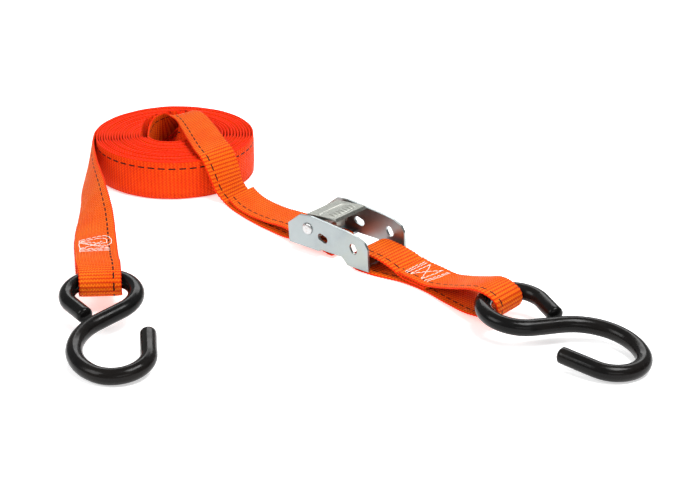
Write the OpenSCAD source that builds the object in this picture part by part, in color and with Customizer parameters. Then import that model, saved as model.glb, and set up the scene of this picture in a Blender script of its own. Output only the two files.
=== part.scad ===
// Cam-buckle tie-down: a long rolled webbing strap and a short fixed strap joined by a
// spring cam buckle, with a vinyl-dipped S-hook sewn into each outer end.
// Millimetres, +Z up. The set lies on a flat surface at z = 0.

/* [Webbing] */
// Width of the webbing
web_w = 25.4; // [20:0.1:26]
// Thickness of one layer of webbing
web_t = 1.5; // [1:0.1:1.6]
// Outer radius of the rolled strap
coil_r = 51.3; // [48:0.5:52]
// Radius of the hole in the middle of the roll
hole_r = 16.5; // [15:0.5:18]

/* [Buckle] */
// Width over the buckle's side plates
buckle_w = 36; // [35:0.5:40]
// Thickness of the buckle's steel sheet
sheet_t = 1.6; // [1.2:0.1:1.6]
// Radius of the cam pin
pin_r = 2.5; // [2:0.1:2.8]
// Radius of the pin's formed heads
head_r = 3.6; // [3:0.1:4]
// Clearance between the lever's bores and the pin
bore_gap = 0.05; // [0.02:0.01:0.1]

/* [Hooks] */
// Radius of the steel rod inside the hooks
steel_r = 4; // [3.5:0.1:4]
// Thickness of the vinyl coat on the hooks
coat_t = 0.75; // [0.5:0.05:0.75]

/* [Hidden] */
$fn = 48;

web_color = [1, 0.36, 0.08];
zinc_color = [0.76, 0.79, 0.77];
steel_color = [0.55, 0.56, 0.58];
vinyl_color = [0.06, 0.06, 0.06];
thread_color = [0.97, 0.95, 0.92];

// ---- Where the pieces lie ----
coil_at = [-109.5, 129.5];
hole_at = [-112, 130];
// Room behind the hole, where the innermost turn climbs out over the roll
climb_at = [-114, 151];
climb_r = 25.5;
buckle_at = [27.5, -25.4, 0];
buckle_turn = -40;

// Ribbon routes: x, y, z of the middle of the webbing, then the heading and the rise
// of its width direction in degrees.
lead_route = [
    [-127, 128, 13, 180, -88], [-127.5, 143, 14.5, 150, -85], [-125, 155, 17.5, 120, -75],
    [-117, 162, 20.5, 80, -55], [-109, 160.5, 27, 68, -18], [-103, 152.5, 30, 62, -3],
    [-96.5, 136, 31, 50, 2], [-84.5, 99, 30, 42, 4], [-79, 89, 27, 41, 2],
    [-74.5, 84.5, 17, 43, 0], [-71.5, 82.5, 8, 50, 0], [-67, 80, 2, 53, 0],
    [-61, 69.5, 1, 54, 0], [-53, 57.5, 1, 52, 0], [-42.5, 43.5, 1, 50, 0],
    [-28.5, 26.5, 1.6, 50, 0], [-21.5, 15.7, 4.3, 50, 0]
];
tail_route = [
    [-21.5, 15.7, 8.1, 50, 0], [-27.5, 27.5, 7, 50, 0], [-41.5, 44.5, 4.2, 50, 0],
    [-52, 58.5, 3, 52, 0], [-59, 69.5, 3, 53, 0], [-64, 79, 4.4, 53, 0]
];
hook_end_route = [
    [-162.3, 134, 12.8, 0, 89], [-163.9, 118, 12.7, 0, 79], [-161.5, 90, 12.5, 0, 66],
    [-156.5, 60, 12.3, 0, 53], [-152, 30, 11.5, 0, 34], [-149, 5, 11.5, 2, 17],
    [-146, -20, 13.5, 3, 7], [-143, -42, 17.5, 4, 2]
];
sewn_end_route = [
    [-147.8, -5, 9.7, 2, 12], [-146, -20, 11.3, 3, 7], [-143, -42, 15.5, 4, 2]
];
left_loop_route = [
    [-142.9, -42.7, 17.7, 4, 2], [-140.5, -60, 21.3, 4, 0], [-138, -74, 23.2, 4, 0],
    [-136.3, -84, 22.8, 4, 0], [-135.5, -90.1, 19.8, 4, 0], [-135.3, -91.6, 16, 4, 0],
    [-135.5, -90, 12, 4, 0], [-136.3, -84, 9.3, 4, 0], [-138, -74, 9.1, 4, 0],
    [-140.5, -60, 11.8, 4, 0], [-142.9, -42.7, 15.7, 4, 2]
];
bar_loop_route = [
    [44, -39.5, 5.1, 44, 0], [36, -32.5, 8.2, 48, 0], [27.5, -25.4, 10, 50, 0],
    [18, -17.4, 10.2, 50, 0], [14.6, -14.6, 5.6, 50, 0], [18, -17.4, 1, 50, 0],
    [27.5, -25.4, 0.9, 50, 0], [36, -32.5, 1, 48, 0], [44, -39.5, 1.2, 44, 0]
];
sewn_middle_route = [
    [44, -39.5, 3.2, 44, 0], [50, -46, 3.2, 42, 0], [58, -55, 3.2, 39, 0]
];
right_loop_route = [
    [58.45, -55.6, 5.1, 39, 0], [66, -66, 8.8, 39, 0], [74, -81.3, 15.4, 40, 0],
    [81, -93.9, 21, 44, 0], [87, -101.9, 21.9, 48, 0], [92, -106.8, 19, 50, 0],
    [93.4, -108.1, 14.4, 50, 0], [92, -106.8, 9.6, 50, 0], [86, -99.9, 6.9, 48, 0],
    [78, -89.2, 4.6, 44, 0], [68, -71, 2.2, 40, 0], [58.45, -55.6, 1.3, 39, 0]
];

// ---- Buckle sizes, in the buckle's own frame ----
// Its origin is on the surface, midway between the side plates, at their right ends.
plate_y = buckle_w / 2;
inner_y = plate_y - sheet_t;
pin_at = [-47, 17.6];
base_z = 5.4;
base_left = -61;
base_right = -38;
wrap_right = -34.6;
bar_z = 2.9;
bar_left = -11;
bar_right = -4;
turn_z = base_z + sheet_t / 2;
turn_r = sheet_t / 2 + 0.35 + web_t / 2;
wrap_left = -63.965;
cam_r = pin_at[1] - (turn_z + turn_r + web_t / 2) - 0.3;
cam_w = 24;
cheek_t = 1.5;
lever_y = 14;
thumb_t = 1.5;

// ---- Hook outline: straight stretches and arcs, from the eye's tip to the hook's tip ----
hook_path = [
    ["line", 17, 0], ["arc", 17, -130], ["line", 2, 0], ["arc", 20.5, -134],
    ["line", 16.5, 0], ["arc", 32.5, 102], ["arc", 17.5, 131], ["line", 22, 0]
];
neck_step = 4;
neck_heading = -45;
first_heading = neck_heading + 264;
rod_r = steel_r + coat_t;
// x, y, turn, pitch, roll and side (1, or -1 when the hook lies flipped over)
left_hook = [-127.5, -117.8, -92.4, 7.3, 2.65, 1];
right_hook = [112.5, -128.7, -28, 5.6, 2.65, -1];

// ---- Functions ----
// Where a path step ends, starting from a state of x, y and heading
function after(s, seg) = seg[0] == "line"
    ? [s[0] + seg[1] * cos(s[2]), s[1] + seg[1] * sin(s[2]), s[2]]
    : let (q = sign(seg[2]), h = s[2] + seg[2])
      [s[0] - q * seg[1] * (sin(s[2]) - sin(h)), s[1] + q * seg[1] * (cos(s[2]) - cos(h)), h];
function state(k) = k == 0 ? [0, 0, first_heading] : after(state(k - 1), hook_path[k - 1]);
// The state at fraction f along path step k
function part_way(k, f) = let (s = hook_path[k])
    after(state(k), [s[0], s[0] == "line" ? f * s[1] : s[1], f * s[2]]);
neck = state(neck_step);
half_neck = hook_path[neck_step][1] / 2;
neck_mid = [neck[0] + half_neck * cos(neck[2]), neck[1] + half_neck * sin(neck[2])];
// Points along the rod's middle line, about every tenth of a step
rod_line = [
    for (k = [0 : len(hook_path) - 1], f = [0.1 : 0.1 : 1])
        let (p = part_way(k, f)) [p[0] - neck_mid[0], p[1] - neck_mid[1]]
];
// Height of the neck above the surface when the rod's lowest point rests on it
function neck_z(h) = rod_r - min([for (p = rod_line) h[5] * p[1] * sin(h[4]) * cos(h[3]) - p[0] * sin(h[3])]);

function unit(v) = v / norm(v);
function width_dir(s) = [cos(s[3]) * cos(s[4]), sin(s[3]) * cos(s[4]), sin(s[4])];
function blend(a, b, c, d, t) =
    0.5 * (2 * b + (c - a) * t + (2 * a - 5 * b + 4 * c - d) * t * t + (3 * b - a - 3 * c + d) * t * t * t);
// Smooth stations through a route, with steps rings in each stretch
function stations(route, steps) = let (n = len(route) - 1) concat(
    [
        for (i = [0 : n - 1], k = [0 : steps - 1])
            blend(route[max(i - 1, 0)], route[i], route[i + 1], route[min(i + 2, n)], k / steps)
    ],
    [route[n]]
);
// The four corners of the webbing at station i
function corners(st, i, t, width) = let (
    along = [for (j = [0 : 2]) st[min(i + 1, len(st) - 1)][j] - st[max(i - 1, 0)][j]],
    w = width_dir(st[i]),
    up = unit(cross(along, w)),
    mid = [st[i][0], st[i][1], st[i][2]]
) [
    for (c = [[-1, -1], [1, -1], [1, 1], [-1, 1]])
        mid + c[0] * w * width / 2 + c[1] * up * t / 2
];

// ---- Shared shapes ----
// A ribbon of webbing swept along a route
module ribbon(route, t = web_t, steps = 4, width = web_w) {
    st = stations(route, steps);
    n = len(st);
    points = [for (i = [0 : n - 1], p = corners(st, i, t, width)) p];
    sides = [
        for (i = [0 : n - 2], k = [0 : 3]) let (a = 4 * i + k, b = 4 * i + (k + 1) % 4)
            [[a, a + 4, b + 4], [a, b + 4, b]]
    ];
    faces = concat(
        [[0, 1, 2], [0, 2, 3]],
        [for (pair = sides, f = pair) f],
        [[4 * n - 1, 4 * n - 2, 4 * n - 3], [4 * n - 1, 4 * n - 3, 4 * n - 4]]
    );
    polyhedron(points = points, faces = faces, convexity = 12);
}

// The hook's rod at radius r, cut back by trim at both tips, which are eased by up to ease
module hook_rod(r, trim, ease) {
    sides = 16;
    last = len(hook_path) - 1;
    tips = [[0, 1], [0.4, 0.3], [1.4, 0]];
    // Path step, fraction along it and radius of each ring
    rings = concat(
        [for (t = tips) [0, (trim + t[0]) / hook_path[0][1], r - ease * t[1]]],
        [
            for (k = [1 : last])
                let (turn = abs(hook_path[k][2]), n = max(1, round(turn / 9)))
                    for (j = [0 : n - 1]) [k, j / n, r]
        ],
        [for (j = [2 : -1 : 0]) [last, 1 - (trim + tips[j][0]) / hook_path[last][1], r - ease * tips[j][1]]]
    );
    points = [
        for (g = rings)
            let (p = part_way(g[0], g[1]), n = [-sin(p[2]), cos(p[2])])
                for (a = [0 : 360 / sides : 359])
                    [p[0] + n[0] * g[2] * cos(a), p[1] + n[1] * g[2] * cos(a), g[2] * sin(a)]
    ];
    count = len(rings);
    faces = concat(
        [[for (k = [0 : sides - 1]) k]],
        [
            for (i = [0 : count - 2], k = [0 : sides - 1])
                let (a = i * sides + k, b = i * sides + (k + 1) % sides)
                    each [[a, a + sides, b + sides], [a, b + sides, b]]
        ],
        [[for (k = [sides - 1 : -1 : 0]) (count - 1) * sides + k]]
    );
    translate([-neck_mid[0], -neck_mid[1], 0])
        polyhedron(points = points, faces = faces, convexity = 12);
}

module place_hook(h) {
    translate([h[0], h[1], neck_z(h)])
        rotate([0, 0, h[2]])
            rotate([0, h[3], 0])
                rotate([h[4], 0, 0])
                    if (h[5] > 0)
                        children();
                    else
                        mirror([0, 1, 0])
                            children();
}

module hook_steel(h) {
    color(steel_color)
        place_hook(h)
            hook_rod(steel_r, coat_t, 0.4);
}

module hook_coat(h) {
    color(vinyl_color)
        place_hook(h)
            difference() {
                hook_rod(rod_r, 0, 1.3);
                hook_rod(steel_r, coat_t, 0.4);
            }
}

module in_buckle() {
    translate(buckle_at)
        rotate([0, 0, buckle_turn])
            children();
}

// A profile in the buckle's length and height, y0 to y1 across
module across(y0, y1) {
    translate([0, y1, 0])
        rotate([90, 0, 0])
            linear_extrude(height = y1 - y0)
                children();
}

// A slot with round ends: middle, length, width and slant
module slot(at, length, width, slant) {
    translate(at)
        rotate(slant) {
            square([length - width, width], center = true);
            for (s = [-1, 1])
                translate([s * (length - width) / 2, 0])
                    circle(d = width);
        }
}

// ---- Buckle ----
module side_plate() {
    difference() {
        polygon([
            [-61.5, base_z], [base_right, base_z], [base_right + 1, base_z + 1.3], [-20.3, base_z + 1.3],
            [-16, 2.5], [0, 2.5], [-0.8, 16.3], [-3.2, 20.1],
            [-9, 22.5], [-17, 23.8], [-44.6, 26.1], [-53.5, 25], [-62.5, 17.5]
        ]);
        translate(pin_at)
            circle(r = pin_r + 0.05);
        slot([-35.2, 14.4], 7.7, 4.5, -17);
        slot([-11.7, 14.1], 6.7, 4.5, -60);
    }
}

module buckle_frame() {
    color(zinc_color)
        in_buckle() {
            across(inner_y, plate_y) side_plate();
            across(-plate_y, -inner_y) side_plate();
            translate([base_left, -plate_y, base_z])
                cube([base_right - base_left, buckle_w, sheet_t]);
            translate([bar_left, -inner_y - 0.01, bar_z])
                cube([bar_right - bar_left, 2 * inner_y + 0.02, sheet_t]);
        }
}

module cam_pin() {
    head_t = 1.2;
    color(zinc_color)
        in_buckle()
            translate([pin_at[0], 0, pin_at[1]])
                rotate([90, 0, 0]) {
                    cylinder(r = pin_r, h = buckle_w, center = true);
                    for (s = [0, 180])
                        rotate([s, 0, 0])
                            translate([0, 0, plate_y]) {
                                cylinder(r = head_r, h = head_t * 0.6);
                                translate([0, 0, head_t * 0.6])
                                    cylinder(r1 = head_r, r2 = head_r - 0.8, h = head_t * 0.4);
                            }
                }
}

// Wound wire seen as its outer sleeve, with one leg on the frame's base
module torsion_spring() {
    wire_r = 0.5;
    sleeve_r = pin_r + 0.35;
    sleeve_w = 5;
    color(steel_color)
        in_buckle() {
            translate([pin_at[0], sleeve_w / 2, pin_at[1]])
                rotate([90, 0, 0])
                    difference() {
                        cylinder(r = sleeve_r + 2 * wire_r, h = sleeve_w);
                        translate([0, 0, -1])
                            cylinder(r = sleeve_r, h = sleeve_w + 2);
                    }
            translate([pin_at[0] - sleeve_r - wire_r, 0, 9.2])
                cylinder(r = wire_r, h = pin_at[1] - 9.2);
        }
}

// Thumb plate, two cheeks on the pin and the toothed cam between them
module cam_lever() {
    spring_gap = 8;
    cam_foot = [for (a = [-112 : 8 : -56]) let (r = cam_r - 1.1 * ((a + 112) / 56)) [r * cos(a), r * sin(a)]];
    teeth = [for (p = cam_foot, s = [0, 1]) (1 - 0.13 * s) * [p[0] + 0.45 * s, p[1]]];
    tip = [-29, 27.2];
    color(zinc_color)
        in_buckle()
            difference() {
                union() {
                    // Thumb plate with its curled lip
                    across(-lever_y, lever_y)
                        polygon([
                            [-50.5, 23.6], [tip[0] - 1, tip[1] - thumb_t], [tip[0] - 0.2, tip[1] - 2.4],
                            [tip[0] + 1.1, tip[1] - 1.9], tip, [-50.8, 23.6 + thumb_t]
                        ]);
                    for (y0 = [-lever_y, lever_y - cheek_t])
                        across(y0, y0 + cheek_t)
                            polygon([
                                [-51.5, 18], [-50.5, 24.3], [-36, 25.6], [-41.5, 19], [-43, 13.6], [-50, 13.6]
                            ]);
                    // Toothed cam
                    translate([pin_at[0], 0, pin_at[1]])
                        across(-cam_w / 2, cam_w / 2)
                            polygon(concat([[-3.5, 6.4], [-4.3, 0]], teeth, [[4.6, 0], [4.2, 6.6]]));
                }
                translate([pin_at[0], 0, pin_at[1]])
                    rotate([90, 0, 0])
                        cylinder(r = pin_r + bore_gap, h = buckle_w, center = true);
                // Room for the spring in the middle of the cam
                translate([pin_at[0] - 9, -spring_gap / 2, 8])
                    cube([15, spring_gap, 15.3]);
            }
}

// ---- Long strap ----
module strap_coil() {
    color(web_color)
        difference() {
            translate([coil_at[0], coil_at[1], 0])
                cylinder(r = coil_r, h = web_w, $fn = 96);
            translate([hole_at[0], hole_at[1], -1])
                cylinder(r = hole_r + 0.5, h = web_w + 2);
            translate([climb_at[0], climb_at[1], -1])
                cylinder(r = climb_r, h = web_w + 2);
        }
}

module strap_lead() {
    color(web_color)
        ribbon(lead_route);
}

// Under the base plate, round its edge and back over it
module strap_wrap() {
    color(web_color)
        in_buckle() {
            for (s = [-1, 1])
                translate([wrap_left, -web_w / 2, turn_z + s * turn_r - web_t / 2])
                    cube([wrap_right - wrap_left, web_w, web_t]);
            translate([wrap_right, -web_w / 2, turn_z])
                rotate([-90, -90, 0])
                    rotate_extrude(angle = 180)
                        translate([turn_r - web_t / 2, 0])
                            square([web_t, web_w]);
        }
}

module strap_tail() {
    color(web_color)
        ribbon(tail_route);
}

module strap_hook_end() {
    color(web_color)
        ribbon(hook_end_route);
}

module sewn_end() {
    color(web_color)
        ribbon(sewn_end_route);
}

module left_hook_loop() {
    color(web_color)
        ribbon(left_loop_route, width = web_w - 1);
}

// ---- Short strap ----
module bar_loop() {
    color(web_color)
        ribbon(bar_loop_route);
}

module sewn_middle() {
    color(web_color)
        ribbon(sewn_middle_route, t = 5.2);
}

module right_hook_loop() {
    color(web_color)
        ribbon(right_loop_route, width = web_w - 1.4);
}

// ---- Stitching ----
// Rows of thread across and along a sewn patch, standing a little proud of it
module stitch_patch(length, width) {
    thread = 0.7;
    rise = 0.3;
    for (x = [0, 0.2, 0.8, 1])
        translate([(x - 0.5) * length - thread / 2, -width / 2, 0])
            cube([thread, width, rise]);
    slant = atan2(width, length * 0.3);
    for (s = [-1, 1])
        translate([s * length * 0.15, 0, rise / 2])
            rotate([0, 0, s * slant])
                cube([norm([width, length * 0.3]) - 1, thread, rise], center = true);
}

// Rows of thread across the strap's upper face
module end_stitching() {
    st = stations(hook_end_route, 4);
    color(thread_color)
        for (i = [20 : 26])
            let (
                w = width_dir(st[i]),
                along = unit([for (j = [0 : 2]) st[i + 1][j] - st[i - 1][j]]),
                up = unit(cross(along, w)),
                face = up[2] > 0 ? up : -up,
                at = [for (j = [0 : 2]) st[i][j]] + (web_t / 2 + 0.25) * face
            )
                multmatrix([
                    [along[0], w[0], face[0], at[0]],
                    [along[1], w[1], face[1], at[1]],
                    [along[2], w[2], face[2], at[2]]
                ])
                    cube([0.7, 17, 0.3], center = true);
}

module middle_stitching() {
    color(thread_color)
        translate([51, -47.2, 5.85])
            rotate([0, 0, -48])
                stitch_patch(15, 19);
}

// ---- Hooks ----
module left_hook_steel() hook_steel(left_hook);
module left_hook_coat() hook_coat(left_hook);
module right_hook_steel() hook_steel(right_hook);
module right_hook_coat() hook_coat(right_hook);

buckle_frame();
cam_pin();
torsion_spring();
cam_lever();
strap_coil();
strap_lead();
strap_wrap();
strap_tail();
strap_hook_end();
sewn_end();
end_stitching();
left_hook_loop();
left_hook_steel();
left_hook_coat();
bar_loop();
sewn_middle();
middle_stitching();
right_hook_loop();
right_hook_steel();
right_hook_coat();
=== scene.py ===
import math
import random

import bpy
import numpy as np
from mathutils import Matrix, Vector


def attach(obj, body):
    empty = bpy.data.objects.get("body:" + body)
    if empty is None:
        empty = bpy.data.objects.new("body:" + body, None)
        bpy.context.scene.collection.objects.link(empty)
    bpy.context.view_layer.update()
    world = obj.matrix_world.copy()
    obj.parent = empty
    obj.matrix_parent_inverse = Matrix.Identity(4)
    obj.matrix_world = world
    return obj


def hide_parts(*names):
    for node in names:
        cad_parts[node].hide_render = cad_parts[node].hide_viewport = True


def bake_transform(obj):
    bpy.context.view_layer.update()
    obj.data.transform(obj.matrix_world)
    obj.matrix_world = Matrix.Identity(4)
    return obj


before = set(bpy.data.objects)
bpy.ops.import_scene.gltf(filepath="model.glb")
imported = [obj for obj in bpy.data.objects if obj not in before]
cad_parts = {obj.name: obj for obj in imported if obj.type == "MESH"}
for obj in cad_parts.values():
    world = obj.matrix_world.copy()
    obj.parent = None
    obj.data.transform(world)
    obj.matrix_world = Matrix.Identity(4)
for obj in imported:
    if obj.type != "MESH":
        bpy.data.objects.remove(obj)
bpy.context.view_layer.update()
rng = random.Random(7)
MM = 0.001

# The webbing, in millimetres
HALF = 12.7
THICK = 1.4
ROW = 2.4
LANE = 0.94
TRACER_AT = 8.1
TRACER_PITCH = 6.7


# ---------------------------------------------------------------- camera, floor and lights
def aim(obj, at):
    obj.rotation_euler = (Vector(at) - obj.location).to_track_quat("-Z", "Y").to_euler()


cam_data = bpy.data.cameras.new("Camera")
cam_data.lens = 111.2
cam_data.sensor_width = 36
cam_data.clip_end = 20
cam = bpy.data.objects.new("Camera", cam_data)
cam.location = (-0.001, -1.1606, 0.5131)
aim(cam, (-0.001, 0.015, 0))
bpy.context.collection.objects.link(cam)
bpy.context.scene.camera = cam


def area_light(name, at, look, size, power, shine=1.0):
    data = bpy.data.lights.new(name, "AREA")
    data.shape = "RECTANGLE"
    data.size, data.size_y = size
    data.energy = power
    data.specular_factor = shine
    obj = bpy.data.objects.new(name, data)
    obj.location = at
    aim(obj, look)
    bpy.context.collection.objects.link(obj)
    return obj


area_light("Key", (0.45, -0.35, 1.25), (0, 0, 0), (0.7, 0.5), 18, 1.4)
area_light("Left", (-1.1, -0.5, 0.9), (-0.05, 0, 0), (0.7, 0.7), 9, 0.6)
area_light("Front", (0.3, -1.3, 0.5), (0, -0.05, 0), (0.8, 0.3), 1.6)
area_light("Back", (0.1, 1.2, 1.0), (0, 0.05, 0), (1.2, 0.5), 9)

def dark_card():
    """Black card at the side, seen only in reflections."""
    mesh = bpy.data.meshes.new("dark_card")
    corners = [(1.2, -1.3, 0), (1.5, 0.5, 0), (1.5, 0.5, 0.75), (1.2, -1.3, 0.75)]
    mesh.from_pydata(corners, [], [(0, 1, 2, 3)])
    card = bpy.data.objects.new("dark_card", mesh)
    bpy.context.collection.objects.link(card)
    black = bpy.data.materials.new("card_black")
    black.use_nodes = True
    black.node_tree.nodes["Principled BSDF"].inputs["Base Color"].default_value = (0.01, 0.01, 0.01, 1)
    mesh.materials.append(black)
    card.visible_camera = False
    card.visible_diffuse = False
    card.visible_shadow = False
    return card


flag = dark_card()

bpy.context.scene.view_settings.view_transform = "Standard"
bpy.context.scene.view_settings.look = "None"
world = bpy.data.worlds.new("Studio")
bpy.context.scene.world = world
world.use_nodes = True
world.node_tree.nodes["Background"].inputs["Color"].default_value = (1, 1, 1, 1)
world.node_tree.nodes["Background"].inputs["Strength"].default_value = 0.36


# ---------------------------------------------------------------- material helpers
class Mat:
    """A node material, with short helpers for its nodes."""

    def __init__(self, name, color, rough, metal=0.0):
        self.mat = bpy.data.materials.new(name)
        self.mat.use_nodes = True
        self.tree = self.mat.node_tree
        self.bsdf = self.tree.nodes["Principled BSDF"]
        self.bsdf.inputs["Base Color"].default_value = (*color, 1)
        self.bsdf.inputs["Roughness"].default_value = rough
        self.bsdf.inputs["Metallic"].default_value = metal

    def node(self, kind, **values):
        n = self.tree.nodes.new(kind)
        for k, v in values.items():
            setattr(n, k, v)
        return n

    def link(self, out, socket):
        self.tree.links.new(out, socket)
        return out

    def math(self, op, a, b=None, clamp=False):
        n = self.node("ShaderNodeMath", operation=op, use_clamp=clamp)
        for i, v in enumerate((a, b)):
            if v is None:
                continue
            if isinstance(v, (int, float)):
                n.inputs[i].default_value = v
            else:
                self.link(v, n.inputs[i])
        return n.outputs[0]

    def coords(self, kind="Object"):
        return self.node("ShaderNodeTexCoord").outputs[kind]

    def noise(self, scale, detail=4.0, rough=0.5, vector=None):
        n = self.node("ShaderNodeTexNoise")
        n.inputs["Scale"].default_value = scale
        n.inputs["Detail"].default_value = detail
        n.inputs["Roughness"].default_value = rough
        self.link(vector if vector is not None else self.coords(), n.inputs["Vector"])
        return n.outputs["Fac"]

    def ramp(self, fac, *stops):
        n = self.node("ShaderNodeValToRGB")
        while len(n.color_ramp.elements) < len(stops):
            n.color_ramp.elements.new(0.5)
        for e, (pos, col) in zip(n.color_ramp.elements, stops):
            e.position = pos
            e.color = (*col, 1) if len(col) == 3 else col
        self.link(fac, n.inputs["Fac"])
        return n.outputs["Color"]

    def spread(self, fac, lo, hi, low=0.0, high=1.0):
        n = self.node("ShaderNodeMapRange")
        n.inputs["From Min"].default_value = low
        n.inputs["From Max"].default_value = high
        n.inputs["To Min"].default_value = lo
        n.inputs["To Max"].default_value = hi
        self.link(fac, n.inputs["Value"])
        return n.outputs["Result"]

    def mix(self, fac, a, b):
        n = self.node("ShaderNodeMix", data_type="RGBA")
        for socket, v in ((n.inputs["Factor"], fac), (n.inputs[6], a), (n.inputs[7], b)):
            if isinstance(v, tuple):
                socket.default_value = (*v, 1)
            elif isinstance(v, (int, float)):
                socket.default_value = v
            else:
                self.link(v, socket)
        return n.outputs[2]

    def bump(self, height, strength, distance, normal=None):
        n = self.node("ShaderNodeBump")
        n.inputs["Strength"].default_value = strength
        n.inputs["Distance"].default_value = distance
        self.link(height, n.inputs["Height"])
        if normal is not None:
            self.link(normal, n.inputs["Normal"])
        return n.outputs["Normal"]

    def set(self, name, out):
        self.link(out, self.bsdf.inputs[name])


def webbing_material(name, base_tone_a, base_tone_b, groove_shade_depth):
    """Woven band: u across and v along it, in metres, are its UV coordinates."""
    m = Mat(name, base_tone_a, 0.62)
    uv = m.node("ShaderNodeSeparateXYZ")
    m.link(m.coords("UV"), uv.inputs[0])
    u, v = uv.outputs[0], uv.outputs[1]
    wob = m.spread(m.noise(420, 2), -0.00022, 0.00022)
    col = m.math("DIVIDE", m.math("ADD", u, wob), LANE * MM)
    lane = m.math("FLOOR", col)
    shift = m.math("MULTIPLY", m.math("MODULO", lane, 2.0), 0.5)
    row = m.math("ADD", m.math("DIVIDE", m.math("ADD", v, wob), ROW * MM), shift)
    # Rounded yarn crowns, one per lane and row
    across = m.math("SINE", m.math("MULTIPLY", m.math("FRACT", col), math.pi))
    along = m.math("SINE", m.math("MULTIPLY", m.math("FRACT", row), math.pi))
    crown = m.math("MULTIPLY", m.math("POWER", across, 0.6), m.math("POWER", along, 0.55))
    # Wefts show as steadier bars over the full width
    bars = m.math("SINE", m.math("MULTIPLY", m.math("DIVIDE", v, ROW * MM), 2 * math.pi))
    height = m.math("ADD", m.math("MULTIPLY", crown, 0.75), m.math("MULTIPLY", bars, 0.3))
    fibre = m.noise(5200, 3, 0.6)
    height = m.math("ADD", height, m.math("MULTIPLY", fibre, 0.25))
    m.set("Normal", m.bump(height, 1.0, 0.0005))
    # Colour: slow dye changes along the band, and painted shade that darkens the grooves of the weave to deep
    # red
    dye_drift = m.spread(m.noise(60, 3), 0.0, 1.0, 0.3, 0.7)
    dye_with_shade = m.mix(dye_drift, base_tone_a, base_tone_b)
    painted_groove_shade = m.math("MAXIMUM", m.spread(crown, 0.75, 0.0, 0.1, 0.75), m.spread(bars, groove_shade_depth, 0.0, -1.0, 0.15))
    dye_with_shade = m.mix(painted_groove_shade, dye_with_shade, (0.55, 0.006, 0.0002))
    # The selvedge is denser; its darker, redder colour is painted shade and painted red bounce light between
    # neighbouring turns and layers, speckled where its wefts turn
    rim_shade = m.spread(m.math("ABSOLUTE", u), 0.0, 0.9, 0.0119, 0.0125)
    speckled_rim_shade = m.mix(m.spread(m.noise(1500, 2), 0, 1, 0.35, 0.65), (0.8, 0.009, 0.0004), (0.98, 0.034, 0.001))
    dye_with_shade = m.mix(rim_shade, dye_with_shade, speckled_rim_shade)
    # Black tracer yarn: dashes along one edge
    off = m.math("ABSOLUTE", m.math("ADD", u, TRACER_AT * MM))
    in_lane = m.math("LESS_THAN", off, 0.00046)
    place = m.math("FRACT", m.math("DIVIDE", m.math("ADD", v, wob), TRACER_PITCH * MM))
    dash = m.math("LESS_THAN", place, 0.66)
    tracer = m.math("MULTIPLY", in_lane, dash)
    m.set("Base Color", m.mix(tracer, dye_with_shade, (0.012, 0.008, 0.006)))
    m.set("Roughness", m.spread(crown, 0.8, 0.5))
    m.bsdf.inputs["Sheen Weight"].default_value = 0.03
    m.bsdf.inputs["Sheen Roughness"].default_value = 0.4
    m.bsdf.inputs["Sheen Tint"].default_value = (1.0, 0.55, 0.3, 1)
    m.bsdf.inputs["Specular IOR Level"].default_value = 0.08
    return m.mat


def thread_material():
    m = Mat("white_thread", (0.9, 0.86, 0.8), 0.6)
    twist = m.node("ShaderNodeTexWave", wave_type="BANDS", bands_direction="DIAGONAL")
    twist.inputs["Scale"].default_value = 900
    twist.inputs["Distortion"].default_value = 1.5
    m.link(m.coords(), twist.inputs["Vector"])
    m.set("Normal", m.bump(twist.outputs["Fac"], 0.5, 0.0001))
    m.set("Base Color", m.mix(m.noise(1500, 2), (1.0, 0.97, 0.93), (0.93, 0.82, 0.74)))
    return m.mat


def zinc_material(name, light, dark, rough):
    m = Mat(name, light, rough, 1.0)
    cloud = m.noise(70, 4, 0.6)
    grain = m.noise(1800, 3, 0.7)
    olive, blue = (0.35, 0.365, 0.32), (0.33, 0.38, 0.43)
    tint = m.ramp(m.noise(26, 2, 0.4), (0.3, light), (0.5, dark), (0.62, olive), (0.75, blue))
    m.set("Base Color", m.mix(m.spread(cloud, 0.0, 0.8, 0.35, 0.7), light, tint))
    # Faint scratches and handling wear
    wave = m.node("ShaderNodeMapping")
    wave.inputs["Scale"].default_value = (1, 14, 3)
    m.link(m.coords(), wave.inputs["Vector"])
    scratch = m.noise(260, 5, 0.7, wave.outputs[0])
    wear = m.math("ADD", m.math("MULTIPLY", grain, 0.4), m.math("MULTIPLY", scratch, 0.6))
    m.set("Roughness", m.spread(wear, rough - 0.09, rough + 0.14, 0.3, 0.7))
    edge = m.node("ShaderNodeBevel", samples=4)
    edge.inputs["Radius"].default_value = 0.00035
    m.set("Normal", m.bump(wear, 0.12, 0.0002, edge.outputs[0]))
    return m.mat


def vinyl_material():
    m = Mat("black_vinyl", (0.006, 0.0055, 0.0055), 0.17)
    m.bsdf.inputs["Specular IOR Level"].default_value = 0.13
    dust = m.noise(240, 5, 0.65)
    m.set("Roughness", m.spread(dust, 0.12, 0.3, 0.35, 0.7))
    scuff = m.spread(m.noise(35, 3), 0, 1, 0.4, 0.7)
    m.set("Base Color", m.mix(scuff, (0.004, 0.004, 0.004), (0.01, 0.008, 0.007)))
    ripple = m.math("ADD", m.math("MULTIPLY", m.noise(120, 2), 0.8), m.math("MULTIPLY", dust, 0.2))
    m.set("Normal", m.bump(ripple, 0.22, 0.0006))
    return m.mat


def wire_material():
    m = Mat("spring_wire", (0.5, 0.5, 0.5), 0.3, 1.0)
    m.set("Roughness", m.spread(m.noise(900, 3), 0.2, 0.45))
    m.set("Normal", m.bump(m.noise(2500, 3), 0.1, 0.0001))
    return m.mat


def floor_material():
    m = Mat("studio_floor", (0.9, 0.9, 0.9), 0.6)
    m.bsdf.inputs["Specular IOR Level"].default_value = 0.1
    m.bsdf.inputs["Emission Color"].default_value = (1, 1, 1, 1)
    m.bsdf.inputs["Emission Strength"].default_value = 0.5
    return m.mat


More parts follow.
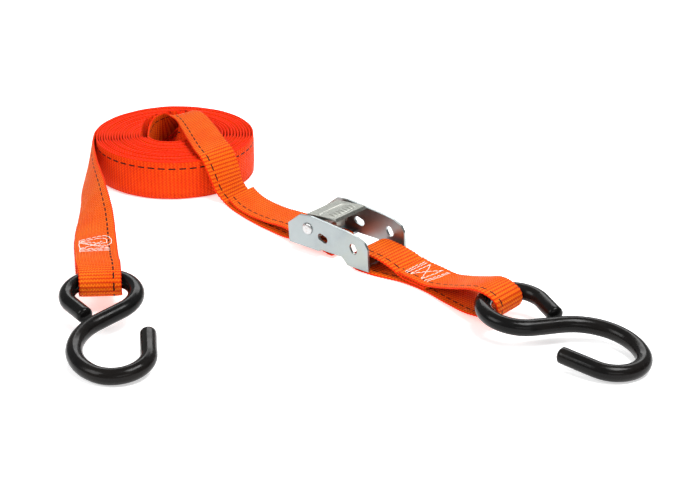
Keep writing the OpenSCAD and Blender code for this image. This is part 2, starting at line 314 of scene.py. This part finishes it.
WEBBING = webbing_material("orange_webbing", (0.97, 0.145, 0.0012), (0.98, 0.205, 0.007), 0.85)
# The rolled copy of the webbing is painted darker and redder, as shade between the turns of the roll
ROLL_SHADED = webbing_material("orange_webbing_rolled_shaded", (0.96, 0.058, 0.0006), (0.97, 0.085, 0.001), 0.6)
THREAD = thread_material()
ZINC = zinc_material("zinc_plate", (0.33, 0.365, 0.37), (0.26, 0.29, 0.3), 0.33)
LEVER = zinc_material("zinc_lever", (0.52, 0.53, 0.48), (0.4, 0.42, 0.39), 0.3)
VINYL = vinyl_material()
WIRE = wire_material()


# ---------------------------------------------------------------- mesh helpers
def mesh_object(name, verts, faces, material, uvs=None):
    mesh = bpy.data.meshes.new(name)
    mesh.from_pydata([tuple(float(c) for c in v) for v in verts], [], faces)
    if uvs is not None:
        layer = mesh.uv_layers.new(name="UVMap")
        flat = np.empty(len(mesh.loops) * 2)
        index = np.empty(len(mesh.loops), dtype=np.int32)
        mesh.loops.foreach_get("vertex_index", index)
        flat[0::2] = uvs[index, 0]
        flat[1::2] = uvs[index, 1]
        layer.data.foreach_set("uv", flat)
    mesh.materials.append(material)
    mesh.polygons.foreach_set("use_smooth", [True] * len(mesh.polygons))
    mesh.update()
    obj = bpy.data.objects.new(name, mesh)
    bpy.context.collection.objects.link(obj)
    return obj


def blend4(a, b, c, d, t):
    square = (2 * a - 5 * b + 4 * c - d) * t * t
    cube = (3 * b - a - 3 * c + d) * t * t * t
    return 0.5 * (2 * b + (c - a) * t + square + cube)


def stations(route, step=0.41, flip=False):
    """Middles and width directions along a route of x, y, z, heading and rise, in millimetres."""
    r = np.array(route, float)
    n = len(r) - 1
    rows = []
    for i in range(n):
        a, b, c, d = r[max(i - 1, 0)], r[i], r[i + 1], r[min(i + 2, n)]
        k = max(2, round(np.linalg.norm(c[:3] - b[:3]) / step))
        rows += [blend4(a, b, c, d, j / k) for j in range(k)]
    rows.append(r[n])
    rows = np.array(rows)
    h, w = np.radians(rows[:, 3]), np.radians(rows[:, 4])
    wide = np.stack([np.cos(h) * np.cos(w), np.sin(h) * np.cos(w), np.sin(w)], 1)
    return rows[:, :3], -wide if flip else wide


def join(*parts):
    """Station runs end to end, without the repeated middles."""
    mids, wides = [parts[0][0]], [parts[0][1]]
    for p, w in parts[1:]:
        near = np.linalg.norm(p[0] - mids[-1][-1]) < 0.2
        mids.append(p[1:] if near else p)
        wides.append(w[1:] if near else w)
    return np.concatenate(mids), np.concatenate(wides)


def backwards(part):
    return part[0][::-1], part[1][::-1]


def lengths(mids):
    return np.concatenate([[0], np.cumsum(np.linalg.norm(np.diff(mids, axis=0), axis=1))])


def frames(mids, wides):
    along = np.gradient(mids, axis=0)
    along /= np.linalg.norm(along, axis=1)[:, None]
    up = np.cross(along, wides)
    up /= np.linalg.norm(up, axis=1)[:, None]
    return along, up


def band(name, run, start_v=0.0, cells=16, shape=None, thick=THICK, scallop=0.2, pinch=None, pinch_by=0.7,
         material=WEBBING):
    """Closed strip of webbing along a run of stations; returns the piece and its length."""
    mids, wides = run
    v = lengths(mids)
    _, up = frames(mids, wides)
    t = np.linspace(-1, 1, cells + 1)
    t = np.sign(t) * np.abs(t) ** 0.85
    half_t = (thick / 2 - 0.01) * (1 - 0.45 * np.abs(t) ** 10)
    ring = [(t[i], half_t[i]) for i in range(cells + 1)] + [(t[i], -half_t[i]) for i in range(cells, -1, -1)]
    m = len(ring)
    vv = (v + start_v)
    edge = HALF - 0.12 + scallop * np.sin(2 * np.pi * vv / ROW)
    edge = edge + 0.07 * np.sin(vv / 7.3 + 1) + 0.05 * np.sin(vv / 2.9)
    if pinch is not None:
        far = np.linalg.norm(mids - np.array(pinch, float), axis=1)
        edge = edge - pinch_by * np.clip(1.6 - far / 14, 0, 1)
    verts = np.empty((len(mids) * m, 3))
    uvs = np.empty((len(mids) * m, 2))
    for j, (a, b) in enumerate(ring):
        weave = 1 - (0.09 if scallop else 0) * (1 - np.sin(2 * np.pi * vv / ROW))
        verts[j::m] = mids + wides * (a * edge)[:, None] + up * (b * weave)[:, None]
        uvs[j::m, 0] = a * HALF * MM
        uvs[j::m, 1] = vv * MM
    if shape is not None:
        verts = shape(verts)
    faces = []
    for i in range(len(mids) - 1):
        for j in range(m):
            k = (j + 1) % m
            faces.append((i * m + j, i * m + k, (i + 1) * m + k, (i + 1) * m + j))
    faces.append(tuple(range(m - 1, -1, -1)))
    faces.append(tuple((len(mids) - 1) * m + j for j in range(m)))
    obj = mesh_object(name, verts * MM, faces, material, uvs)
    return obj, v[-1]


def tube(name, mids, radius, sides, material):
    """Round tube along points, with its own turning frame; radius may change along it."""
    mids = np.array(mids, float)
    rad = np.broadcast_to(np.array(radius, float), (len(mids),))
    along = np.gradient(mids, axis=0)
    along /= np.linalg.norm(along, axis=1)[:, None]
    ref = np.array([0, 0, 1.0]) if abs(along[0][2]) < 0.9 else np.array([1.0, 0, 0])
    side = np.cross(along[0], ref)
    rows = []
    for i in range(len(mids)):
        side = side - along[i] * np.dot(side, along[i])
        side /= np.linalg.norm(side)
        other = np.cross(along[i], side)
        for k in range(sides):
            a = 2 * math.pi * k / sides
            rows.append(mids[i] + rad[i] * (math.cos(a) * side + math.sin(a) * other))
    faces = []
    for i in range(len(mids) - 1):
        for k in range(sides):
            q = (k + 1) % sides
            faces.append((i * sides + k, i * sides + q, (i + 1) * sides + q, (i + 1) * sides + k))
    faces.append(tuple(range(sides - 1, -1, -1)))
    faces.append(tuple((len(mids) - 1) * sides + k for k in range(sides)))
    return mesh_object(name, np.array(rows) * MM, faces, material)


# ---------------------------------------------------------------- the long strap
# Routes in millimetres: x, y, z, heading and rise of the width, close to those of the CAD source
lead_route = [
    (-127, 128, 13, 180, -88), (-127.5, 143, 14.5, 150, -85), (-125, 155, 17.5, 120, -75),
    (-117, 162, 20.5, 80, -55), (-109, 160.5, 27, 68, -18), (-103, 152.5, 30, 62, -3),
    (-96.5, 136, 31, 50, 2), (-84.5, 99, 30, 42, 4), (-79, 89, 27, 41, 2),
    (-74.5, 84.5, 17, 43, 0), (-71.5, 82.5, 8, 50, 0), (-67, 80, 2, 53, 0),
    (-61, 69.5, 1, 54, 0), (-53, 57.5, 1, 52, 0), (-42.5, 43.5, 1, 50, 0),
    (-28.5, 26.5, 1.6, 50, 0), (-21.5, 15.7, 4.3, 50, 0)
]
tail_route = [
    (-21.5, 15.7, 8.1, 50, 0), (-27.5, 27.5, 7, 50, 0), (-41.5, 44.5, 4.2, 50, 0),
    (-52, 58.5, 3, 52, 0), (-59, 69.5, 3, 53, 0), (-64, 79, 4.4, 53, 0)
]
hook_end_route = [
    (-162.3, 134, 12.8, 0, 89), (-163.9, 118, 12.7, 0, 79), (-161.5, 90, 12.5, 0, 66),
    (-156.5, 60, 12.3, 0, 53), (-152, 30, 11.5, 0, 34), (-149, 5, 11.5, 2, 17),
    (-146, -20, 13.5, 3, 7), (-143, -42, 17.5, 4, 2)
]
sewn_end_route = [(-147.8, -5, 9.7, 2, 12), (-146, -20, 11.3, 3, 7), (-143, -42, 15.5, 4, 2)]
left_loop_route = [
    (-143, -42, 17.5, 4, 2), (-140.5, -60, 21.3, 4, 0), (-138, -74, 23.2, 4, 0),
    (-136.3, -84, 22.8, 4, 0), (-135.5, -90.1, 19.8, 4, 0), (-135.3, -91.6, 16, 4, 0),
    (-135.5, -90, 12, 4, 0), (-136.3, -84, 9.3, 4, 0), (-138, -74, 9.1, 4, 0),
    (-140.5, -60, 11.8, 4, 0), (-143, -42, 15.5, 4, 2)
]
BUCKLE = np.array([27.5, -25.4, 0.0])
E1 = np.array([math.cos(math.radians(-40)), math.sin(math.radians(-40)), 0.0])
E2 = np.array([-E1[1], E1[0], 0.0])
E3 = np.array([0, 0, 1.0])


def at_buckle(x, y, z):
    return BUCKLE + E1 * x + E2 * y + E3 * z


wrap_points = [(-64 + 3 * i, 4.3, 0) for i in range(6)] + [
    (-46, 4.2, 1), (-43, 3.9, 3), (-40.5, 3.3, 6), (-38.6, 2.6, 8), (-36.6, 2.2, 10), (-34.8, 2.5, 11.5),
    (-33.5, 3.6, 12), (-33, 5.1, 12), (-33.5, 6.6, 12), (-34.7, 7.6, 11.5), (-36.5, 8.05, 10)
] + [(-38.5 - 3 * i, 8.1, max(0, 9 - 2 * i)) for i in range(8)] + [(-64, 8.1, 0)]
wrap = stations([(*at_buckle(x, 0, z), 50 + skew, 0) for x, z, skew in wrap_points])

lead = stations(lead_route)
near_run = join(lead, wrap, stations(tail_route))

# The roll: a spiral from its hole to its outer turn, whose middles differ a little
COIL = np.array([-109.5, 129.5])
HOLE = np.array([-112.0, 130.0])
INNER_R = 15.1
OUTER_R = 52.6
turns = 20
steps_a_turn = 260
angles = np.radians(np.linspace(187.6, 175.1 + 360 * turns, turns * steps_a_turn))
share = np.linspace(0, 1, len(angles))
radii = INNER_R + (OUTER_R - INNER_R) * share
centres = HOLE + (COIL - HOLE) * share[:, None]
uneven = 0.3 * np.sin(angles * 0.31 + 1) + 0.12 * np.sin(angles * 3.1 + share * 9)
coil_mids = np.stack([
    centres[:, 0] + (radii + 0.18 * np.sin(angles * 2.03 + 7 * share)) * np.cos(angles),
    centres[:, 1] + (radii + 0.18 * np.sin(angles * 2.03 + 7 * share)) * np.sin(angles),
    13.15 + uneven,
], 1)
coil_run = (coil_mids, np.tile([0, 0, -1.0], (len(angles), 1)))

# Points on the climbing strap, and between its foot and the hole, that hold the turns down
lead_mids, lead_wides = lead
CLIMB_LENGTH = 90
STANDING_LENGTH = 50
climb = lengths(lead_mids) < CLIMB_LENGTH
lead_cloud = [(lead_mids + lead_wides * s)[climb][::2] for s in np.linspace(-HALF, HALF, 13)]
standing = lengths(lead_mids) < STANDING_LENGTH
feet = (lead_mids + lead_wides * HALF)[standing]
inward = HOLE - feet[:, :2]
reach = np.linalg.norm(inward, axis=1)
for f in np.linspace(0, 1, 12):
    go = f * np.maximum(0, reach - 15) / reach
    lead_cloud.append(np.column_stack([feet[:, :2] + inward * go[:, None], feet[:, 2]])[::2])
lead_cloud = np.concatenate(lead_cloud)


def sink(verts):
    """Turns dip below the climbing strap and in the pocket it rises from."""
    gap, steepness, flattest = 1.3, 14, 1.0
    near = (np.hypot(verts[:, 0] - HOLE[0], verts[:, 1] - HOLE[1]) < 52) & (verts[:, 2] > 3)
    for i in np.nonzero(near)[0]:
        d = np.hypot(lead_cloud[:, 0] - verts[i, 0], lead_cloud[:, 1] - verts[i, 1])
        roof = (lead_cloud[:, 2] - gap + steepness * np.maximum(0, d - gap)).min()
        verts[i, 2] = min(verts[i, 2], max(roof, flattest))
    return verts


roll, roll_len = band("rolled_strap", coil_run, cells=4, shape=sink, scallop=0.0, thick=1.45, material=ROLL_SHADED)
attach(roll, "buckle")
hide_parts("strap_coil")

buckle_run, buckle_len = band("buckle_strap", near_run)
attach(buckle_run, "buckle")
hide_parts("strap_lead", "strap_wrap", "strap_tail")

left_run = join(
    stations(hook_end_route, flip=True),
    stations(left_loop_route, flip=True),
    backwards(stations(sewn_end_route, flip=True)),
)
left_strap, left_len = band("left_strap", left_run, start_v=roll_len, pinch=(-135.3, -91.6, 16), pinch_by=0.6)
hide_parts("strap_hook_end", "sewn_end", "left_hook_loop")

# ---------------------------------------------------------------- the short strap
short_route = [
    (40.8, -36.3, 6.3, 53, 0), (44, -39.5, 5.3, 50, 0), (50, -46, 5.15, 42, 0), (58, -55, 5.1, 39, 0),
    (66, -66, 8.8, 39, 0), (74, -81.3, 15.4, 40, 0), (81, -93.9, 21, 44, 0), (87, -101.9, 21.9, 48, 0),
    (92, -106.8, 19, 50, 0), (93.4, -108.1, 14.4, 50, 0), (92, -106.8, 9.6, 50, 0),
    (86, -99.9, 6.9, 48, 0), (78, -89.2, 4.6, 44, 0), (68, -71, 2.2, 40, 0), (58, -55, 1.3, 39, 0),
    (50, -46, 1.2, 42, 0), (43.5, -40.1, 1.1, 44, 0), (34.4, -34.4, 0.9, 46, 0), (25, -28.4, 0.8, 47, 0),
    (16, -19.8, 0.95, 48, 0), (14.2, -15.1, 5.6, 50, 0), (18, -17.4, 10.2, 50, 0), (27.5, -25.4, 10, 50, 0),
    (36, -32.5, 7.5, 48, 0), (44, -39.5, 3.5, 44, 0), (50, -46, 3.2, 42, 0), (58, -55, 3.2, 39, 0)
]
short_run = stations(short_route)
short_strap, short_len = band(
    "short_strap_band", short_run, start_v=3.0, pinch=(93.4, -108.1, 14.4), pinch_by=0.8
)
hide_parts("bar_loop", "sewn_middle", "right_hook_loop")
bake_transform(left_strap)
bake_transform(short_strap)


# ---------------------------------------------------------------- stitching
def on_band(run, origin, s, u):
    """Point on a band's upper face: s mm from the station nearest origin, u mm across."""
    mids, wides = run
    v = lengths(mids)
    first = int(np.argmin(np.linalg.norm(mids - np.array(origin), axis=1)))
    i = int(np.clip(np.searchsorted(v, v[first] + s), 1, len(v) - 2))
    _, up = frames(mids[i - 1:i + 2], wides[i - 1:i + 2])
    n = up[1] if up[1][2] > 0 else -up[1]
    return mids[i] + wides[i] * u, n


def jitter():
    return np.array([rng.uniform(-0.12, 0.12), rng.uniform(-0.12, 0.12)])


def stitch_lines(name, run, origin, lines, pitch=3.4):
    """Threads lying on the band, each dipping in at the ends of its stitches."""
    verts, faces = [], []
    sides = 6
    for line in lines:
        line = [np.array(p, float) for p in line]
        for a, b in zip(line[:-1], line[1:]):
            n = max(1, round(np.linalg.norm(b - a) / pitch))
            for k in range(n):
                p = a + (b - a) * (k + 0.03) / n + jitter()
                q = a + (b - a) * (k + 0.97) / n + jitter()
                base = len(verts)
                for j in range(7):
                    f = j / 6
                    c = p + (q - p) * f
                    mid, up = on_band(run, origin, c[0], c[1])
                    lift = THICK / 2 - 0.1 + 0.36 * math.sin(math.pi * f) ** 0.5
                    centre = mid + up * lift
                    ahead, _ = on_band(run, origin, *(p + (q - p) * min(f + 0.05, 1.05)))
                    back, _ = on_band(run, origin, *(p + (q - p) * (f - 0.3)))
                    t = ahead - back
                    t = t / max(np.linalg.norm(t), 1e-6)
                    side = np.cross(t, up)
                    side /= max(np.linalg.norm(side), 1e-6)
                    r = 0.25 * (0.55 + 0.45 * math.sin(math.pi * f) ** 0.6)
                    for s in range(sides):
                        w = 2 * math.pi * s / sides
                        verts.append(centre + r * (math.cos(w) * side + 0.7 * math.sin(w) * up))
                for j in range(6):
                    near, far = base + j * sides, base + (j + 1) * sides
                    for s in range(sides):
                        z = (s + 1) % sides
                        faces.append((near + s, near + z, far + z, far + s))
                faces.append(tuple(base + s for s in range(sides - 1, -1, -1)))
                faces.append(tuple(base + 6 * sides + s for s in range(sides)))
    obj = mesh_object(name, np.array(verts) * MM, faces, THREAD)
    return obj


# s along the band from its origin and u across it, in millimetres
short_lines = [
    [(-10.2, -9.3), (-9.8, 9.5)], [(-8.4, -9.5), (-8.1, 9.2)],
    [(-5.6, -8.8), (-5.4, 9)], [(-5.5, 8.9), (4.3, -8.8)], [(-5.3, -8.9), (4.5, 9)], [(4.5, -8.8), (4.3, 9)],
    [(7.6, -9.4), (7.9, 9.4)], [(9.5, -9.2), (9.3, 9.5)]
]
short_stitches = stitch_lines("short_strap_stitches", short_run, (50, -46, 5.15), short_lines)
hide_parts("middle_stitching")
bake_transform(short_stitches)

left_lines = [
    [(-5.6, 9.3), (-7.3, 2), (-8, -4), (-5.6, -8), (0.7, -9.8), (8.8, -9.4), (13.3, -6.5), (11, -1),
     (5.3, 4), (0.7, 9.3)],
    [(-2.2, 9.3), (-3.9, 1), (-4.1, -4), (-0.4, -7), (6.4, -6.8), (7.6, -3), (1.9, 2), (-1.6, 9)],
    [(-5.6, 9.3), (5.3, 9.6), (16.8, 9.2), (25.4, 9.4)],
    [(-0.4, 9), (9.9, 2), (19.1, -7.6)], [(16.8, 9.2), (8.8, 1), (1.9, -4.5)],
    [(18.2, 9.3), (18.9, 1), (19.3, -8)], [(21.9, 9.3), (22.3, 0), (22.5, -8.4)], [(25.4, 9.4), (25.5, -7.8)]
]
left_stitches = stitch_lines("left_strap_stitches", left_run, (-146, -20, 13.5), left_lines)
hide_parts("end_stitching")
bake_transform(left_stitches)


# ---------------------------------------------------------------- hooks
hook_path = [
    ("line", 17, 0), ("arc", 17, -130), ("line", 2, 0), ("arc", 20.5, -134),
    ("line", 16.5, 0), ("arc", 32.5, 102), ("arc", 17.5, 131), ("line", 22, 0)
]


def step(s, kind, size, turn):
    x, y, h = s
    if kind == "line":
        return x + size * math.cos(h), y + size * math.sin(h), h
    q = 1 if turn > 0 else -1
    g = h + math.radians(turn)
    return x - q * size * (math.sin(h) - math.sin(g)), y + q * size * (math.cos(h) - math.cos(g)), g


def hook_line():
    s = (0.0, 0.0, math.radians(219))
    points = [s[:2]]
    neck = None
    for k, (kind, size, turn) in enumerate(hook_path):
        n = max(2, round((size if kind == "line" else size * math.radians(abs(turn))) / 1.2))
        for j in range(1, n + 1):
            f = j / n
            p = step(s, kind, size * f if kind == "line" else size, turn * f)
            points.append(p[:2])
        if k == 4:
            neck = step(s, kind, size / 2, 0)
        s = step(s, kind, size, turn)
    return np.array(points) - np.array(neck[:2])


def turned(yaw, pitch, roll):
    y, p, r = (math.radians(a) for a in (yaw, pitch, roll))
    rz = np.array([[math.cos(y), -math.sin(y), 0], [math.sin(y), math.cos(y), 0], [0, 0, 1]])
    ry = np.array([[math.cos(p), 0, math.sin(p)], [0, 1, 0], [-math.sin(p), 0, math.cos(p)]])
    rx = np.array([[1, 0, 0], [0, math.cos(r), -math.sin(r)], [0, math.sin(r), math.cos(r)]])
    return rz @ ry @ rx


def hook(name, x, y, yaw, pitch, roll, side, body, node):
    flat = hook_line()
    local = np.stack([flat[:, 0], flat[:, 1] * side, np.zeros(len(flat))], 1)
    mids = local @ turned(yaw, pitch, roll).T
    mids += np.array([x, y, 4.75 - mids[:, 2].min()])
    v = lengths(mids)
    # Rounded tips and a slightly uneven dip coat
    tip = np.minimum(v, v[-1] - v)
    radius = 4.72 - 1.5 * np.clip(1 - tip / 1.8, 0, 1) ** 2.2
    radius = radius + np.where(tip > 2, 0.03 * np.sin(v / 9.0 + side) * np.sin(v / 3.7), 0)
    obj = tube(name, mids, radius, 40, VINYL)
    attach(obj, body)
    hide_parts(node)
    return obj


hook("left_hook_vinyl", -127.5, -117.8, -92.4, 7.3, 2.65, 1, "left_hook", "left_hook_coat")
hook("right_hook_vinyl", 112.5, -128.7, -28, 5.6, 2.65, -1, "right_hook", "right_hook_coat")


# ---------------------------------------------------------------- buckle details
def helix():
    points = []
    for i in range(181):
        a = math.radians(i * 360 * 4.5 / 180 + 180)
        y = 2.2 - 4.4 * i / 180
        points.append(at_buckle(-47 + 3.35 * math.cos(a), y, 17.6 + 3.35 * math.sin(a)))
    for f in np.linspace(0.1, 1, 8):
        points.append(at_buckle(-43.65, -2.2, 17.6 + 1.5 * f))
    first = [at_buckle(-50.35, 2.2, 9.4 + (17.6 - 9.4) * f) for f in np.linspace(0, 0.95, 14)]
    return first + points


spring = tube("torsion_spring_wire", helix(), 0.5, 12, WIRE)
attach(spring, "buckle")
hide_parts("torsion_spring")


def lathe(name, profile, x, z, material, sides=40):
    """Turned piece about the buckle's cross direction; profile is radius and place along it."""
    rows, faces = [], []
    for rad, y in profile:
        for k in range(sides):
            a = 2 * math.pi * k / sides
            rows.append(at_buckle(x + rad * math.cos(a), y, z + rad * math.sin(a)))
    for i in range(len(profile) - 1):
        for k in range(sides):
            q = (k + 1) % sides
            faces.append((i * sides + k, i * sides + q, (i + 1) * sides + q, (i + 1) * sides + k))
    faces.append(tuple(range(sides - 1, -1, -1)))
    faces.append(tuple((len(profile) - 1) * sides + k for k in range(sides)))
    return mesh_object(name, np.array(rows) * MM, faces, material)


half = [
    (2.5, 0), (2.5, 17.9), (2.5, 18.02), (3.45, 18.02), (3.66, 18.15), (3.7, 18.45), (3.5, 18.8),
    (2.9, 19.1), (2.1, 19.28), (1.5, 19.3), (1.25, 19.22), (1.0, 19.22), (0.7, 19.32), (0.3, 19.38),
    (0.02, 19.4)
]
pin = lathe("cam_pin_domed", [(a, -b) for a, b in half[:0:-1]] + half, -47, 17.6, WIRE)
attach(pin, "buckle")
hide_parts("cam_pin")


def ridge(points, width, height):
    """Low rounded bead along points on the thumb plate, in the buckle's own frame."""
    base, faces = [], []
    pts = [at_buckle(*p) for p in points]
    for i, c in enumerate(pts):
        t = pts[min(i + 1, len(pts) - 1)] - pts[max(i - 1, 0)]
        t /= np.linalg.norm(t)
        n = np.cross(t, E2) if abs(np.dot(t, E2)) < 0.7 else np.cross(t, E1)
        n = n if n[2] > 0 else -n
        side = np.cross(n, t)
        fade = math.sin(math.pi * (0.12 + 0.76 * i / (len(pts) - 1)))
        for k in range(9):
            a = math.pi * k / 8
            base.append(c + side * (width / 2 * math.cos(a)) + n * (height * fade * math.sin(a) - 0.05))
    for i in range(len(pts) - 1):
        for k in range(8):
            faces.append((i * 9 + k, i * 9 + k + 1, (i + 1) * 9 + k + 1, (i + 1) * 9 + k))
        faces.append((i * 9 + 8, i * 9, (i + 1) * 9, (i + 1) * 9 + 8))
    faces.append(tuple(range(8, -1, -1)))
    faces.append(tuple((len(pts) - 1) * 9 + k for k in range(9)))
    return base, faces


def plate_z(x):
    """Height of the thumb plate's upper face."""
    return 25.1 + (27.2 - 25.1) * (x + 50.8) / (50.8 - 29)


verts, faces = [], []
beads = [([(-43.2, y, plate_z(-43.2)) for y in np.linspace(-13.2, 13.2, 12)], 1.3, 0.35)]
for y in (-9, -6, -3, 0, 3, 6, 9):
    ends = (-37.5 + 0.5 * math.sin(y), -31.2 + 0.4 * math.cos(y * 1.7))
    beads.append(([(x, y + 0.4 * math.sin(x), plate_z(x)) for x in np.linspace(*ends, 8)], 1.5, 0.5))
for points, width, height in beads:
    v, f = ridge(points, width, height)
    faces += [tuple(i + len(verts) for i in face) for face in f]
    verts += v
ridges = mesh_object("thumb_ridges", np.array(verts) * MM, faces, LEVER)
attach(ridges, "cam_lever")


def dress(node, material):
    """Give a carried-over CAD node its material."""
    slots = bpy.data.objects[node].data.materials
    slots.clear()
    slots.append(material)


dress("buckle_frame", ZINC)
dress("cam_lever", LEVER)
dress("left_hook_steel", WIRE)
dress("right_hook_steel", WIRE)

# ---------------------------------------------------------------- floor
bpy.ops.mesh.primitive_plane_add(size=12, location=(0, 0, 0))
floor = bpy.context.object
floor.name = "studio_floor"
floor.data.materials.append(floor_material())
